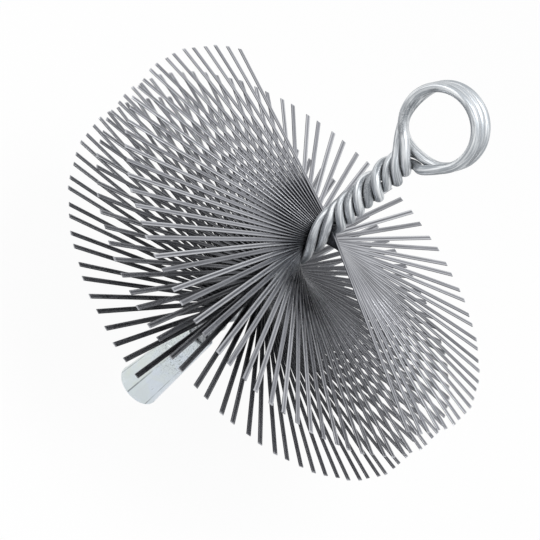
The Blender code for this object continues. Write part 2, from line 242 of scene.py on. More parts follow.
class WireSettings(bpy.types.PropertyGroup):
    diameter: bpy.props.FloatProperty(
        name="Diameter", description="Diameter of the doubled wires",
        default=WIRE_DIAMETER + 2 * WIRE_FULLNESS, min=0.002, max=0.005, precision=5, unit="LENGTH",
    )
    colour: bpy.props.FloatVectorProperty(
        name="Zinc", description="Colour of the clean zinc", default=(0.78, 0.80, 0.815),
        min=0.0, max=1.0, subtype="COLOR",
    )
    dull_colour: bpy.props.FloatVectorProperty(
        name="Dull zinc", description="Colour of the drawn and dulled streaks",
        default=(0.38, 0.405, 0.43), min=0.0, max=1.0, subtype="COLOR",
    )
    pitted_colour: bpy.props.FloatVectorProperty(
        name="Pitted zinc", description="Colour of the rough, pitted patches",
        default=(0.15, 0.162, 0.18), min=0.0, max=1.0, subtype="COLOR",
    )
    # Painted shade in the grooves where wires lie side by side.
    groove_shade_colour: bpy.props.FloatVectorProperty(
        name="Grooves", description="Colour of the grime where wires lie side by side",
        default=(0.035, 0.038, 0.045), min=0.0, max=1.0, subtype="COLOR",
    )


class SleeveSettings(bpy.types.PropertyGroup):
    radius: bpy.props.FloatProperty(
        name="Mouth radius", description="Outer radius at the round mouth", default=SLEEVE_RADIUS,
        min=0.008, max=0.013, precision=5, unit="LENGTH",
    )
    colour: bpy.props.FloatVectorProperty(
        name="Plating", description="Colour of the plating", default=(0.755, 0.825, 0.895),
        min=0.0, max=1.0, subtype="COLOR",
    )
    stain_colour: bpy.props.FloatVectorProperty(
        name="Passivated plating", description="Colour of the greenish film on the plating",
        default=(0.77, 0.83, 0.80), min=0.0, max=1.0, subtype="COLOR",
    )
    # Colour of the real scuffs, and of the painted shade along the pressed corners.
    scuff_and_corner_shade_colour: bpy.props.FloatVectorProperty(
        name="Scuffs", description="Colour of the scuffs and of the creases along the pressed corners",
        default=(0.22, 0.25, 0.27), min=0.0, max=1.0, subtype="COLOR",
    )


class StageSettings(bpy.types.PropertyGroup):
    floor_colour: bpy.props.FloatVectorProperty(
        name="Floor", description="Colour of the floor", default=(0.92, 0.92, 0.92),
        min=0.0, max=1.0, subtype="COLOR",
    )
    key_power: bpy.props.FloatProperty(
        name="Key lamp", description="Power of the large lamp over the brush", default=16.0,
        min=0.0, max=200.0, unit="POWER",
    )
    fill_power: bpy.props.FloatProperty(
        name="Fill lamp", description="Power of the lamp at the other side", default=5.0,
        min=0.0, max=200.0, unit="POWER",
    )
    back_power: bpy.props.FloatProperty(
        name="Back lamp", description="Power of the lamp behind the fan", default=0.6,
        min=0.0, max=200.0, unit="POWER",
    )
    room_light: bpy.props.FloatProperty(
        name="Room light", description="Strength of the even light all round", default=0.35,
        min=0.0, max=2.0,
    )
    camera_azimuth: bpy.props.FloatProperty(
        name="Azimuth", description="Camera's bearing round the stem", default=math.radians(12.0),
        subtype="ANGLE",
    )
    camera_elevation: bpy.props.FloatProperty(
        name="Elevation", description="Camera's height above the horizon", default=math.radians(31.566),
        subtype="ANGLE",
    )
    camera_roll: bpy.props.FloatProperty(
        name="Roll", description="Turn of the camera about its own line of sight",
        default=math.radians(49.686), subtype="ANGLE",
    )
    camera_distance: bpy.props.FloatProperty(
        name="Distance", description="Camera's distance from the point it aims at", default=0.93661,
        min=0.2, max=5.0, unit="LENGTH",
    )
    camera_aim: bpy.props.FloatVectorProperty(
        name="Aim", description="Point that the camera aims at", default=(0.00008, -0.00696, 0.09889),
        subtype="XYZ", unit="LENGTH",
    )
    focal_length: bpy.props.FloatProperty(
        name="Focal length", description="Focal length of the camera in millimetres", default=143.86,
        min=20.0, max=400.0,
    )


# Shader nodes

# Sockets of the Mix node when it mixes colours
MIX_SHARE, MIX_FIRST, MIX_SECOND, MIX_RESULT = 0, 6, 7, 2


def add_node(tree, kind, inputs, **settings):
    """A node with its settings and inputs, where an input is a value or another node's socket."""
    node = tree.nodes.new(kind)
    for name, value in settings.items():
        setattr(node, name, value)
    for key, value in inputs.items():
        if isinstance(value, bpy.types.NodeSocket):
            tree.links.new(value, node.inputs[key])
        else:
            node.inputs[key].default_value = value
    return node


def maths(tree, operation, *values):
    """Result of one sum on values or sockets."""
    return add_node(tree, "ShaderNodeMath", dict(enumerate(values)), operation=operation).outputs[0]


def ramp(tree, value, low, high, at_low=0.0, at_high=1.0):
    """Eased change from at_low to at_high while the value goes from low to high."""
    inputs = {"Value": value, "From Min": low, "From Max": high, "To Min": at_low, "To Max": at_high}
    return add_node(tree, "ShaderNodeMapRange", inputs, interpolation_type="SMOOTHSTEP").outputs[0]


def colour_of(colour):
    """A socket as it is, or a colour with its fourth channel."""
    return colour if isinstance(colour, bpy.types.NodeSocket) else (*colour, 1.0)


def blend_colours(tree, share, first, second):
    """The first colour with this share of the second in it."""
    inputs = {MIX_SHARE: share, MIX_FIRST: colour_of(first), MIX_SECOND: colour_of(second)}
    return add_node(tree, "ShaderNodeMix", inputs, data_type="RGBA").outputs[MIX_RESULT]


def brightened(colour, factor):
    """The colour with its channels times the factor, which darkens it under one."""
    return [channel * factor for channel in colour]


def noise(tree, place, grain, detail=2.0, roughness=0.5):
    """Noise with one grain for every direction, or with three grains, one for each direction."""
    scale = grain
    if isinstance(grain, tuple):
        stretched = add_node(tree, "ShaderNodeVectorMath", {0: place, 1: grain}, operation="MULTIPLY")
        place = stretched.outputs[0]
        scale = 1.0
    inputs = {"Vector": place, "Scale": scale, "Detail": detail, "Roughness": roughness}
    return add_node(tree, "ShaderNodeTexNoise", inputs).outputs["Fac"]


def attribute(tree, name):
    """A vector that the mesh keeps for each vertex."""
    return add_node(tree, "ShaderNodeAttribute", {}, attribute_name=name).outputs["Vector"]


def object_place(tree):
    """Place on the piece, in metres."""
    return add_node(tree, "ShaderNodeTexCoord", {}).outputs["Object"]


def parts_of(tree, vector):
    """The vector's three parts, each a socket."""
    return add_node(tree, "ShaderNodeSeparateXYZ", {0: vector}).outputs


def new_material(name, metallic):
    """A material with its node tree and its shader."""
    material = bpy.data.materials.new(name)
    material.use_nodes = True
    tree = material.node_tree
    shader = tree.nodes["Principled BSDF"]
    shader.inputs["Metallic"].default_value = metallic
    return material, tree, shader


def finish_material(tree, shader, colour, roughness, relief, depth):
    """Joins colour and roughness to the shader, and the relief as marks of this depth."""
    tree.links.new(colour, shader.inputs["Base Color"])
    tree.links.new(roughness, shader.inputs["Roughness"])
    bump = add_node(tree, "ShaderNodeBump", {"Height": relief, "Distance": depth, "Strength": 1.0})
    tree.links.new(bump.outputs[0], shader.inputs["Normal"])


# Materials

def strip_material(settings):
    """Rolled flat wire: drawn lines, painted highlights on the shoulders, painted shade on the rims, the
    undersides, near the stem and on the deeper strips, and bright sheared ends.
    """
    material, tree, shader = new_material("rolled_strip_steel", metallic=1.0)
    along, across, up = parts_of(tree, attribute(tree, "strip_place"))
    seed, band_seed, depth = parts_of(tree, attribute(tree, "strip_seeds"))
    from_stem = maths(tree, "ABSOLUTE", along)
    place = add_node(tree, "ShaderNodeCombineXYZ", {0: along, 1: across, 2: seed}).outputs[0]
    streaks = noise(tree, place, STRIP_STREAKS, detail=3.0, roughness=0.6)
    patches = noise(tree, place, STRIP_PATCHES)

    streak_tone = ramp(tree, streaks, 0.32, 0.68, -0.4, 0.4)
    strip_tone = ramp(tree, seed, 0.0, 1.0, 0.3, 0.7)
    dark, bright = brightened(settings.colour, DARK_STREAK), brightened(settings.colour, BRIGHT_STREAK)
    flat = blend_colours(tree, maths(tree, "ADD", streak_tone, strip_tone), dark, bright)
    # Painted highlight along the rolled shoulders, stronger on some strips than on others.
    shoulder_highlight = ramp(tree, maths(tree, "ABSOLUTE", across), 0.2, 0.55)
    banded = ramp(tree, band_seed, 0.1, 0.9, 0.25, 1.0)
    face = blend_colours(tree, maths(tree, "MULTIPLY", shoulder_highlight, banded), flat, settings.shoulder_highlight_and_cut_colour)

    # Painted shade on the rounded rims and on the undersides.
    rim = ramp(tree, maths(tree, "ABSOLUTE", up), 0.98, 0.5, 0.0, 0.95)
    painted_underside_shade = ramp(tree, up, 0.3, -0.5, 0.0, 0.6)
    face = blend_colours(tree, maths(tree, "MAXIMUM", rim, painted_underside_shade), face, settings.painted_shade_colour)

    # Painted shade near the stem, where the strips crowd together.
    painted_core_shade = ramp(tree, from_stem, CORE_SHADE_END, CORE_SHADE_FULL, 0.0, 0.28)
    # Painted shadow on the deeper strips, fading towards the tips, and least on the -X side.
    shadow_fading = ramp(tree, from_stem, FAN_SHADOW_FADE_START, FAN_SHADOW_FADE_FULL)
    to_one_side = parts_of(tree, object_place(tree))[0]
    shadow_fade_share = ramp(tree, to_one_side, LEAST_SHADOW_SIDE, MOST_SHADOW_SIDE, 0.7, 0.2)
    shadow_left = maths(tree, "SUBTRACT", 1.0, maths(tree, "MULTIPLY", shadow_fading, shadow_fade_share))
    painted_fan_shadow = maths(tree, "MULTIPLY", ramp(tree, depth, 0.32, 0.6, 0.0, 0.68), shadow_left)
    face = blend_colours(tree, maths(tree, "MAXIMUM", painted_core_shade, painted_fan_shadow), face, settings.painted_shade_colour)

    # The sheared ends are bright cut steel, in the same colour as the painted shoulder highlight.
    sheared = ramp(tree, from_stem, FAN_RADIUS - TIP_LENGTH_SPREAD - CUT_END_LENGTH, FAN_RADIUS)
    colour = blend_colours(tree, maths(tree, "MULTIPLY", sheared, 0.85), face, settings.shoulder_highlight_and_cut_colour)
    patchy = ramp(tree, patches, 0.3, 0.7, 0.24, 0.38)
    rough_underneath = ramp(tree, up, 0.2, -0.8, 0.0, 0.15)
    roughness = maths(tree, "ADD", patchy, rough_underneath)
    finish_material(tree, shader, colour, roughness, streaks, DRAWN_LINE_DEPTH)
    return material


def wire_material(settings):
    """Drawn, zinc-coated wire: long streaks, rough dull patches and painted shade in the grooves."""
    material, tree, shader = new_material("drawn_zinc_wire", metallic=0.9)
    drawn = attribute(tree, "drawn")
    groove = parts_of(tree, attribute(tree, "groove"))[0]
    place = object_place(tree)
    height = parts_of(tree, place)[2]
    streaks = noise(tree, drawn, WIRE_STREAKS, detail=4.0, roughness=0.6)
    bands = noise(tree, drawn, WIRE_BANDS)
    patches = noise(tree, drawn, WIRE_PATCHES)
    pits = noise(tree, place, WIRE_PITS, detail=3.0, roughness=0.65)

    dull_streaks = ramp(tree, streaks, 0.44, 0.59, 0.0, 0.75)
    dull_bands = ramp(tree, bands, 0.46, 0.6, 0.0, 0.55)
    dull = maths(tree, "ADD", dull_streaks, dull_bands)
    colour = blend_colours(tree, dull, settings.colour, settings.dull_colour)

    # Dark pitted patches grow more common towards the fan, so the stem is darker towards the bottom.
    near_fan = ramp(tree, height, STEM_TOP, FAN_TOP, 0.0, 0.1)
    rough_patch = ramp(tree, maths(tree, "ADD", patches, near_fan), 0.55, 0.65)
    pitted = maths(tree, "MULTIPLY", rough_patch, ramp(tree, pits, 0.38, 0.6, 0.2, 0.75))
    colour = blend_colours(tree, pitted, colour, settings.pitted_colour)

    # Painted shade in the grooves between strands, weaker towards the top of the stem.
    painted_groove_shade = maths(tree, "MULTIPLY", groove, ramp(tree, height, FAN_TOP, STEM_TOP, 1.0, 0.65))
    colour = blend_colours(tree, painted_groove_shade, colour, settings.groove_shade_colour)

    streaky = ramp(tree, streaks, 0.3, 0.7, 0.46, 0.6)
    roughness = maths(tree, "ADD", streaky, maths(tree, "MULTIPLY", rough_patch, 0.1))
    patch_relief = maths(tree, "MULTIPLY", maths(tree, "MULTIPLY", pits, rough_patch), PIT_RELIEF)
    relief = maths(tree, "ADD", streaks, patch_relief)
    finish_material(tree, shader, colour, roughness, relief, WIRE_PIT_DEPTH)
    return material


def sleeve_material(settings):
    """Bright plating on pressed steel: a faint film, rubbed lines, and painted shade along the pressed
    corners.
    """
    material, tree, shader = new_material("plated_steel", metallic=0.7)
    place = object_place(tree)
    from_corner, tint, height = parts_of(tree, attribute(tree, "pressed"))
    film = noise(tree, place, SLEEVE_FILM, detail=3.0, roughness=0.55)
    rubbed = noise(tree, place, SLEEVE_RUBBING, detail=3.0, roughness=0.6)
    specks = noise(tree, place, SLEEVE_SPECKS)
    breaks = noise(tree, place, CORNER_SHADE_BREAKS)

    greened = maths(tree, "ADD", tint, ramp(tree, film, 0.4, 0.62, -0.25, 0.25))
    colour = blend_colours(tree, greened, settings.colour, settings.stain_colour)

    towards_wires = ramp(tree, height, 0.3, 0.75)
    scuffed = maths(tree, "MULTIPLY", towards_wires, ramp(tree, specks, 0.48, 0.7, 0.0, 0.8))
    colour = blend_colours(tree, scuffed, colour, settings.scuff_and_corner_shade_colour)

    # Painted shade along the pressed corners, broken up and strongest towards the mouth.
    at_corner = ramp(tree, from_corner, CORNER_SHADE_WIDTH, CORNER_SHADE_CORE)
    broken = maths(tree, "MULTIPLY", at_corner, ramp(tree, breaks, 0.34, 0.55, 0.2, 1.0))
    corner_shade = maths(tree, "MULTIPLY", broken, ramp(tree, height, 0.15, 0.5, 0.9, 0.3))
    colour = blend_colours(tree, corner_shade, colour, settings.scuff_and_corner_shade_colour)

    rubbed_roughness = ramp(tree, rubbed, 0.3, 0.7, 0.26, 0.42)
    roughness = maths(tree, "ADD", rubbed_roughness, ramp(tree, film, 0.3, 0.7, 0.0, 0.08))
    finish_material(tree, shader, colour, roughness, rubbed, RUBBED_LINE_DEPTH)
    return material


# Meshes

def bridge_rings(bm, rings, closed):
    """Faces between successive rings of points, with end caps unless the rings close on themselves."""
    made = [[bm.verts.new(point) for point in ring] for ring in rings]
    pairs = list(zip(made, made[1:]))
    if closed:
        pairs.append((made[-1], made[0]))
    for lower, upper in pairs:
        sides = len(lower)
        for side in range(sides):
            following = (side + 1) % sides
            bm.faces.new((lower[side], lower[following], upper[following], upper[side]))
    if not closed:
        bm.faces.new(made[0][::-1])
        bm.faces.new(made[-1])


def store_vectors(mesh, name, vectors):
    """Keeps one vector for each vertex, for the materials to read."""
    layer = mesh.attributes.new(name, "FLOAT_VECTOR", "POINT")
    layer.data.foreach_set("vector", [value for vector in vectors for value in vector])


def add_piece(name, bm, material, nodes, sharp_angle):
    """A piece that stands for solids of the frame, rides on the body and takes the given material."""
    bmesh.ops.recalc_face_normals(bm, faces=bm.faces)
    mesh = bpy.data.meshes.new(name)
    bm.to_mesh(mesh)
    bm.free()
    mesh.shade_smooth()
    mesh.set_sharp_from_angle(angle=sharp_angle)
    mesh.materials.append(material)
    piece = bpy.data.objects.new(name, mesh)
    bpy.context.scene.collection.objects.link(piece)
    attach(piece, BODY)
    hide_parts(*nodes)
    return piece


# How strands lie beside each other

def least_spacing(radius, angle, turn_length):
    """Least distance between two strands wound on one radius, this angle apart."""
    third_of_turn = turn_length / 3

    def distance(rise):
        turned = angle - math.tau * rise / turn_length
        return math.sqrt(2 * radius**2 * (1 - math.cos(turned)) + rise**2)

    return min(distance(third_of_turn * step / SPACING_STEPS) for step in range(SPACING_STEPS))


def solve(shortfall, low, high):
    """The value between low and high at which shortfall rises through zero."""
    for _ in range(HALVINGS):
        middle = (low + high) / 2
        if shortfall(middle) < 0:
            low = middle
        else:
            high = middle
    return high


def radius_for_four(turn_length):
    """Winding radius at which four even strands lie one spacing apart."""
    return solve(
        lambda radius: least_spacing(radius, QUARTER_TURN, turn_length) - STRAND_SPACING,
        WIRE_RADIUS,
        WIRE_RADIUS * 4,
    )


def pairs_beside_strips():
    """Winding radius and half the angle within a pair, where strips lie between the pairs."""
    across = STRIP_WIDTH / 2 + STRIP_CLEARANCE + WIRE_RADIUS

    def shortfall(half):
        angle = 2 * math.atan(half / across)
        return least_spacing(math.hypot(half, across), angle, FAN_TURN_LENGTH) - STRAND_SPACING

    for _ in range(WINDING_ROUNDS):
        along = solve(shortfall, WIRE_RADIUS / 2, WIRE_RADIUS * 3)
        radius = math.hypot(along, across)
        lean = math.atan(math.tau * radius / FAN_TURN_LENGTH)
        bearing = math.atan(across / along)
        reach = WIRE_RADIUS * math.hypot(math.sin(bearing), math.cos(bearing) / math.cos(lean))
        across = STRIP_WIDTH / 2 + STRIP_CLEARANCE + reach
    return radius, math.atan(along / across)


NECK_WINDING = radius_for_four(NECK_TURN_LENGTH)
FAN_WINDING, PAIR_HALF_ANGLE = pairs_beside_strips()


# The twist, left-handed all the way up

def eased(share):
    """From 0 to 1 with a gentle start and end, and level outside."""
    share = min(max(share, 0.0), 1.0)
    return share * share * (3 - 2 * share)


def eased_run(distance):
    """Distance run at a rate that eases from none to full over TWIST_EASE."""
    share = min(max(distance / TWIST_EASE, 0.0), 1.0)
    return TWIST_EASE * (share**3 - share**4 / 2) + max(distance - TWIST_EASE, 0.0)


FAN_RATE = math.tau / FAN_TURN_LENGTH
NECK_RATE = math.tau / NECK_TURN_LENGTH
NOMINAL_RATE = math.tau / STEM_TURN_LENGTH
NOMINAL_TWIST = FAN_RATE * BARE_STEM_LENGTH + (NOMINAL_RATE - FAN_RATE) * eased_run(BARE_STEM_LENGTH)
TWIST_TO_PAIR_BEARING = FIRST_STRIP_ANGLE + QUARTER_TURN - PAIR_BEARING_AT_TOP
HALF_TURNS_IN_STEM = round((NOMINAL_TWIST - TWIST_TO_PAIR_BEARING) / HALF_TURN)
STEM_TWIST = TWIST_TO_PAIR_BEARING + HALF_TURN * HALF_TURNS_IN_STEM
STEM_RATE = FAN_RATE + (STEM_TWIST - FAN_RATE * BARE_STEM_LENGTH) / eased_run(BARE_STEM_LENGTH)
RISING_PAIR_OFFSET = QUARTER_TURN + HALF_TURN * HALF_TURNS_IN_STEM
STEM_WINDING = radius_for_four(math.tau / STEM_RATE)


def fan_angle(height):
    """Direction of the strips' line at this height, carried on through stem and neck."""
    angle = FIRST_STRIP_ANGLE + FAN_RATE * (FAN_TOP - height)
    angle -= (STEM_RATE - FAN_RATE) * eased_run(height - FAN_TOP)
    angle += (NECK_RATE - FAN_RATE) * eased_run(FAN_BOTTOM - height)
    return angle


def unevenness(height):
    """How far two opposite strands stand out and two lie in, where the hand twist is loose."""
    start = FAN_TOP + UNEVEN_ABOVE_FAN
    share = min(max((height - start) / (STEM_TOP - start), 0.0), 1.0)
    return UNEVEN_WINDING * math.sin(math.pi * share) ** 2


def strand_point(pair, side, height):
    """Centre of one of the four strands. pair is 0 or 1, side is -1 or +1."""
    above = eased((height - FAN_TOP) / TWIST_EASE)
    below = eased((FAN_BOTTOM - height) / TWIST_EASE)
    radius = FAN_WINDING + (STEM_WINDING - FAN_WINDING) * above + (NECK_WINDING - FAN_WINDING) * below
    radius -= side * unevenness(height)
    half_angle = PAIR_HALF_ANGLE + (QUARTER_TURN / 2 - PAIR_HALF_ANGLE) * max(above, below)
    angle = fan_angle(height) + RISING_PAIR_OFFSET + pair * HALF_TURN + side * half_angle
    return Vector((radius * math.cos(angle), radius * math.sin(angle), height))


# Wire routes: up one strand, round the eye, and down another

FRONT_COIL = -COIL_SPACING
MIDDLE_COIL = 0.0
BACK_COIL = COIL_SPACING

# Angles round the eye are counted from its foot towards +X. One wire lies in the front coil.
# The other takes the back coil, crosses forward over the foot and goes on in the middle coil.
# Pulls say how firmly a blend holds the way it starts and the way it ends.
WIRES = {
    "wire_once_round_eye": {
        "rising": {"pair": 0, "side": -1, "leaves_below_top": 0.0038, "pulls": (1.28, 2.36)},
        "turns": [{"coil": FRONT_COIL, "start": math.radians(60.7), "end": math.radians(338.5)}],
        "falling": {"pair": 1, "side": 1, "leaves_below_top": 0.0012, "pulls": (0.68, 0.48)},
    },
    "wire_twice_round_eye": {
        "rising": {"pair": 0, "side": 1, "leaves_below_top": 0.0051, "pulls": (1.34, 2.04)},
        "turns": [
            {"coil": BACK_COIL, "start": math.radians(73.5), "end": math.radians(265.3)},
            {"coil": MIDDLE_COIL, "start": math.radians(42.5), "end": math.radians(282.1)},
        ],
        "crossing_pulls": (3.01, 0.44),
        "falling": {"pair": 1, "side": -1, "leaves_below_top": 0.0049, "pulls": (1.14, 1.55)},
    },
}


def eye_point(angle, coil):
    """Centre of the wire at this angle round the eye."""
    return Vector((EYE_RADIUS * math.sin(angle), coil, EYE_CENTRE - EYE_RADIUS * math.cos(angle)))


def eye_way(angle):
    """Direction along a coil, the way its angle grows."""
    return Vector((math.cos(angle), 0, math.sin(angle)))


def leg_way(leg, height):
    """Direction of a leg's strand at this height, upwards."""
    ahead = strand_point(leg["pair"], leg["side"], height + STRIP_RISE)
    behind = strand_point(leg["pair"], leg["side"], height - STRIP_RISE)
    return (ahead - behind).normalized()


def leg_points(leg):
    """Strand centres from inside the sleeve up to where the leg leaves the twist."""
    bottom = THREAD_DEPTH + WIRE_END_GAP + WIRE_RADIUS
    top = STEM_TOP - leg["leaves_below_top"]
    points = [strand_point(leg["pair"], leg["side"], bottom)]
    height = bottom
    while height < top:
        here = points[-1]
        ahead = strand_point(leg["pair"], leg["side"], height + STRIP_RISE)
        height += STRIP_RISE * WIRE_STEP / (ahead - here).length
        height = min(height, top)
        points.append(strand_point(leg["pair"], leg["side"], height))
    return points


def blend_points(start, start_way, end, end_way, pulls, steps):
    """Points between two ends, on a cubic that leaves and arrives along the given ways."""
    span = (end - start).length
    points = []
    for step in range(1, steps):
        t = step / steps
        point = start * (2 * t**3 - 3 * t**2 + 1) + end * (3 * t**2 - 2 * t**3)
        point += start_way * (t**3 - 2 * t**2 + t) * span * pulls[0]
        point += end_way * (t**3 - t**2) * span * pulls[1]
        points.append(point)
    return points


def joined_leg(leg, eye_end, way):
    """A leg and its blend up to its end of the eye, in order from the sleeve."""
    points = leg_points(leg)
    leaving = leg_way(leg, STEM_TOP - leg["leaves_below_top"])
    return points + blend_points(points[-1], leaving, eye_end, way, leg["pulls"], BLEND_STEPS)


def turn_points(turn):
    """Centre points along one turn of the eye."""
    sweep = turn["end"] - turn["start"]
    steps = math.ceil(sweep / math.tau * EYE_STEPS_PER_TURN)
    return [eye_point(turn["start"] + sweep * step / steps, turn["coil"]) for step in range(steps + 1)]


def wire_points(wire):
    """Every centre point of one wire, from one end in the sleeve to its other end there."""
    turns = wire["turns"]
    first, last = turns[0], turns[-1]
    foot = eye_point(first["start"], first["coil"])
    points = joined_leg(wire["rising"], foot, eye_way(first["start"]))
    for turn in turns:
        arc = turn_points(turn)
        if turn is not first:
            arriving = eye_way(turn["start"])
            pulls = wire["crossing_pulls"]
            points += blend_points(points[-1], leaving, arc[0], arriving, pulls, CROSSING_STEPS)
        points += arc
        leaving = eye_way(turn["end"])
    down = joined_leg(wire["falling"], eye_point(last["end"], last["coil"]), -eye_way(last["end"]))
    return points + down[::-1]


def wire_rings(points, radius):
    """Rings of a round wire along its route, and each ring point's place on the wire drawn straight."""
    rings, drawn = [], []
    ways = [(ahead - behind).normalized() for behind, ahead in zip(points, points[1:])]
    sideways = ways[0].orthogonal().normalized()
    travelled = 0.0
    for index, point in enumerate(points):
        way = (ways[max(index - 1, 0)] + ways[min(index, len(ways) - 1)]).normalized()
        sideways = (sideways - way * sideways.dot(way)).normalized()
        other = way.cross(sideways)
        if index > 0:
            travelled += (point - points[index - 1]).length
        ring = []
        for side in range(WIRE_SIDES):
            turn = math.tau * side / WIRE_SIDES
            across, up = math.cos(turn) * radius, math.sin(turn) * radius
            ring.append(point + sideways * across + other * up)
            drawn.append((travelled, across, up))
        rings.append(ring)
    return rings, drawn


def groove_depths(routes, rings, wire_radius):
    """From 0 to 1 for each ring point of each wire, how near it lies to a neighbouring strand.

    The same wire is its own neighbour where it is more than GROOVE_SKIP steps away along its route.
    """
    stations = []
    tree = KDTree(sum(len(route) for route in routes))
    for wire, route in enumerate(routes):
        for step, point in enumerate(route):
            tree.insert(point, len(stations))
            stations.append((wire, step))
    tree.balance()
    reach = STRAND_SPACING - wire_radius + GROOVE_WIDTH
    depths = []
    for wire, rings_of_wire in enumerate(rings):
        here = []
        for step, ring in enumerate(rings_of_wire):
            for point in ring:
                nearest = reach
                for _, index, distance in tree.find_range(point, reach):
                    other_wire, other_step = stations[index]
                    if other_wire != wire or abs(other_step - step) > GROOVE_SKIP:
                        nearest = min(nearest, distance)
                here.append((eased((reach - nearest) / GROOVE_WIDTH), 0.0, 0.0))
        depths.append(here)
    return depths


# Strips of the fan

def tip_variation(index, end):
    """Small steady differences between strip ends, from -1 to 1, as hand cutting leaves them."""
    golden_angle = math.pi * (3 - math.sqrt(5))
    phase = golden_angle * (index * 2 + end)
    return math.sin(phase * 2), math.cos(phase * 3)


def tips_rise(index):
    """How far a strip's ends lie above its middle, swept towards the middle of the fan."""
    return FIRST_TIPS_RISE + (LAST_TIPS_RISE - FIRST_TIPS_RISE) * index / (STRIP_COUNT - 1)


def strip_outline(width, thickness):
    """Cross-section of flat wire: two faces rolled a little hollow and two round edges."""
    edge = thickness / 2
    flat = width / 2 - edge
    outline = []
    for side in (1, -1):
        for step in range(STRIP_EDGE_STEPS + 1):
            turn = side * (HALF_TURN * step / STRIP_EDGE_STEPS - QUARTER_TURN)
            outline.append((side * flat + edge * math.cos(turn) * side, edge * math.sin(turn)))
        for share in HOLLOW_POINTS:
            hollow = ROLLED_HOLLOW * (1 - share * share)
            outline.append((side * flat * share, side * (edge - hollow)))
    return outline


def strip_rings(index, outline):
    """Rings along one strip, from one end through the stem to the other, and their places on it."""
    heading = FIRST_STRIP_ANGLE + STRIP_TURN * index
    height = FAN_TOP - STRIP_RISE * index
    sideways = Vector((-math.sin(heading), math.cos(heading), 0))
    half_width = max(across for across, _ in outline)
    half_thickness = max(up for _, up in outline)
    rings, places = [], []
    for station in range(-STRIP_STATIONS, STRIP_STATIONS + 1):
        share = abs(station) / STRIP_STATIONS
        sign = 1 if station <= 0 else -1
        sway, cut = tip_variation(index, 0 if sign > 0 else 1)
        length = (FAN_RADIUS - TIP_MARGIN - TIP_LENGTH_SPREAD * (1 + cut) / 2) * share
        bearing = heading + TIP_SWAY * sway * share
        rise = height + tips_rise(index) * share
        centre = Vector((sign * length * math.cos(bearing), sign * length * math.sin(bearing), rise))
        rings.append([centre + sideways * across + Vector((0, 0, up)) for across, up in outline])
        places += [(sign * length, across / half_width, up / half_thickness) for across, up in outline]
    return rings, places


def scattered(index, step):
    """A steady number from 0 to 1 that jumps about from one index to the next."""
    return (math.sin(index * step) + 1) / 2


def strip_seeds(index, count):
    """Two numbers that set one strip's tone and the strength of its painted shoulder highlight, and its
    depth in the fan, which sets its painted shadow, count times.
    """
    depth = index / (STRIP_COUNT - 1)
    return [(scattered(index, TONE_STEP), scattered(index, BAND_STEP), depth)] * count


# Sleeve

WIRE_BORE_RADIUS = NECK_WINDING + WIRE_RADIUS + WIRE_SEAT_GAP
PRESSED_FLAT = WIRE_BORE_RADIUS + PRESSED_WALL


def flat_distance(height, radius):
    """Distance of the pressed flats from the axis, deeper towards the wires."""
    share = min(max((height - ROUND_LAND) / (SLEEVE_LENGTH - ROUND_LAND), 0.0), 1.0)
    shallow = radius - FIRST_FLAT_DEPTH
    return shallow + (PRESSED_FLAT - shallow) * share


def sleeve_outside(angle, height, mouth_radius):
    """Outer radius: round at the mouth, six flats with rounded corners further up, and punch marks."""
    if height < ROUND_LAND:
        return mouth_radius
    share = (height - ROUND_LAND) / (SLEEVE_LENGTH - ROUND_LAND)
    corner = mouth_radius + (PRESSED_FLAT + PRESSED_CORNER_RISE - mouth_radius) * share
    from_flat = (angle - FIRST_FLAT_ANGLE + FLAT_TURN / 2) % FLAT_TURN - FLAT_TURN / 2
    radius = min(corner, flat_distance(height, mouth_radius) / math.cos(from_flat))
    mark = SLEEVE_LENGTH - DIMPLE_FROM_END
    ball = flat_distance(mark, mouth_radius) - DIMPLE_DEPTH + DIMPLE_BALL_RADIUS
    beside = ball * math.sin(from_flat)
    inside = DIMPLE_BALL_RADIUS**2 - beside**2 - (height - mark) ** 2
    if inside > 0:
        radius = min(radius, ball * math.cos(from_flat) - math.sqrt(inside))
    return radius


def thread_depth(angle, height):
    """How far the thread's groove goes into the wall here."""
    if not MOUTH_CHAMFER < height < THREAD_DEPTH:
        return 0.0
    phase = (height / THREAD_PITCH - angle / math.tau) % 1.0
    run_out = eased((THREAD_DEPTH - height) / THREAD_LEAD_IN)
    profile = min(max(abs(phase - 0.5) * THREAD_FLANK_SLOPE - THREAD_CREST, 0.0), 1.0)
    return THREAD_HEIGHT * profile * run_out


def sleeve_ring(height, radius_at):
    """Points round the sleeve at one height, where radius_at gives the radius at each angle."""
    ring = []
    for side in range(SLEEVE_SIDES):
        angle = FIRST_FLAT_ANGLE + FLAT_TURN / 2 + math.tau * side / SLEEVE_SIDES
        radius = radius_at(angle)
        ring.append(Vector((radius * math.cos(angle), radius * math.sin(angle), height)))
    return ring


def pressed_place(point):
    """Distance from the nearest pressed corner, the flat's tint, and share of the height."""
    angle = math.atan2(point.y, point.x) - FIRST_FLAT_ANGLE
    flat = round(angle / FLAT_TURN)
    from_corner = (FLAT_TURN / 2 - abs(angle - flat * FLAT_TURN)) * math.hypot(point.x, point.y)
    if not ROUND_LAND / 2 < point.z < SLEEVE_LENGTH - RIM_ROUND:
        from_corner = SLEEVE_RADIUS
    tint = (math.cos(flat * FLAT_TURN - GREENEST_FLAT) + 1) / 2
    return from_corner, tint, point.z / SLEEVE_LENGTH


